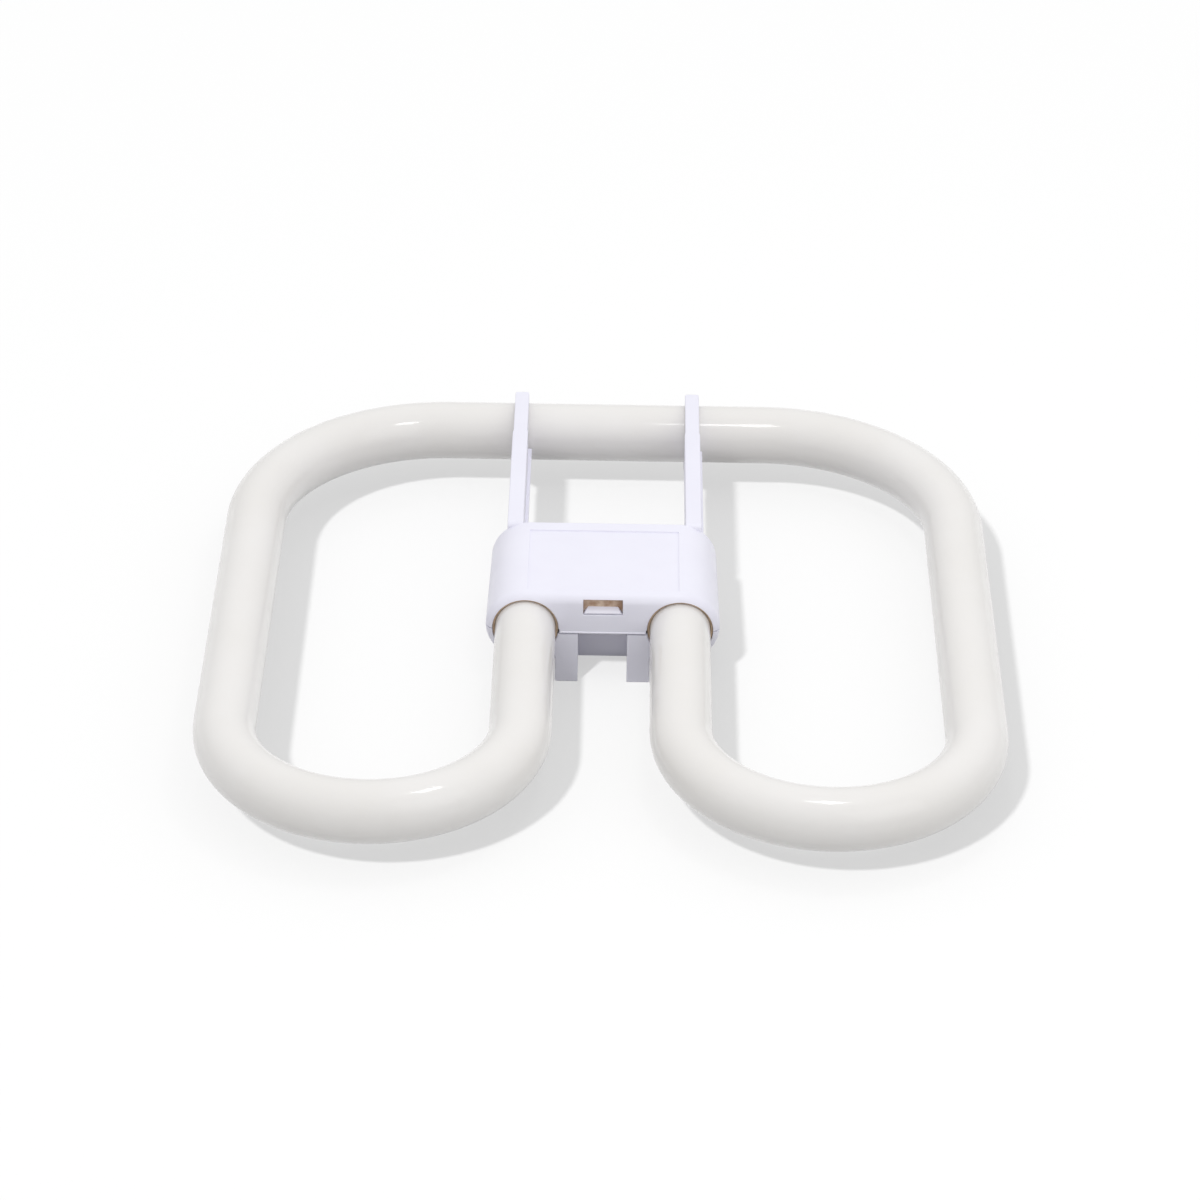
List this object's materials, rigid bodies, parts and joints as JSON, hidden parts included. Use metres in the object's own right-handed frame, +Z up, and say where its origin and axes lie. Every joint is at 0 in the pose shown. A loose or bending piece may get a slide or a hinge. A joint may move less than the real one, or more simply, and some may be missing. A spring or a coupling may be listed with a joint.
{
  "type": "compact fluorescent lamp",
  "caption": "Square double-D compact fluorescent lamp: a bent glass tube with a pin cap between its inner limbs and two arms that clip round the far limb.",
  "frame": {"origin": "on the plane the cap's block stands on, under the middle of the lamp's outline", "axes": "+X across the lamp, +Y from the two near bends towards the far limb, +Z up from the block's foot to the cap's top"},
  "size_m": [0.207, 0.205, 0.0269],
  "materials": {
    "coated_glass": "clear glass over a white phosphor coating, opaque, smooth and glossy",
    "cap_plastic": "moulded white plastic with a faint lilac cast, satin",
    "basing_cement": "tan basing cement, rough and dull",
    "pin_brass": "turned brass, plain",
    "wire_metal": "bare copper-clad wire"
  },
  "bodies": {
    "root": {"discharge_tube": "coated_glass", "cap_cover": "cap_plastic", "cap_base": "cap_plastic", "cement_bead_left": "basing_cement", "cement_bead_right": "basing_cement", "contact_pin_1": "pin_brass", "contact_pin_2": "pin_brass", "contact_pin_3": "pin_brass", "contact_pin_4": "pin_brass", "lead_wire_1": "wire_metal", "lead_wire_2": "wire_metal", "lead_wire_3": "wire_metal", "lead_wire_4": "wire_metal"}
  },
  "joints": []
}
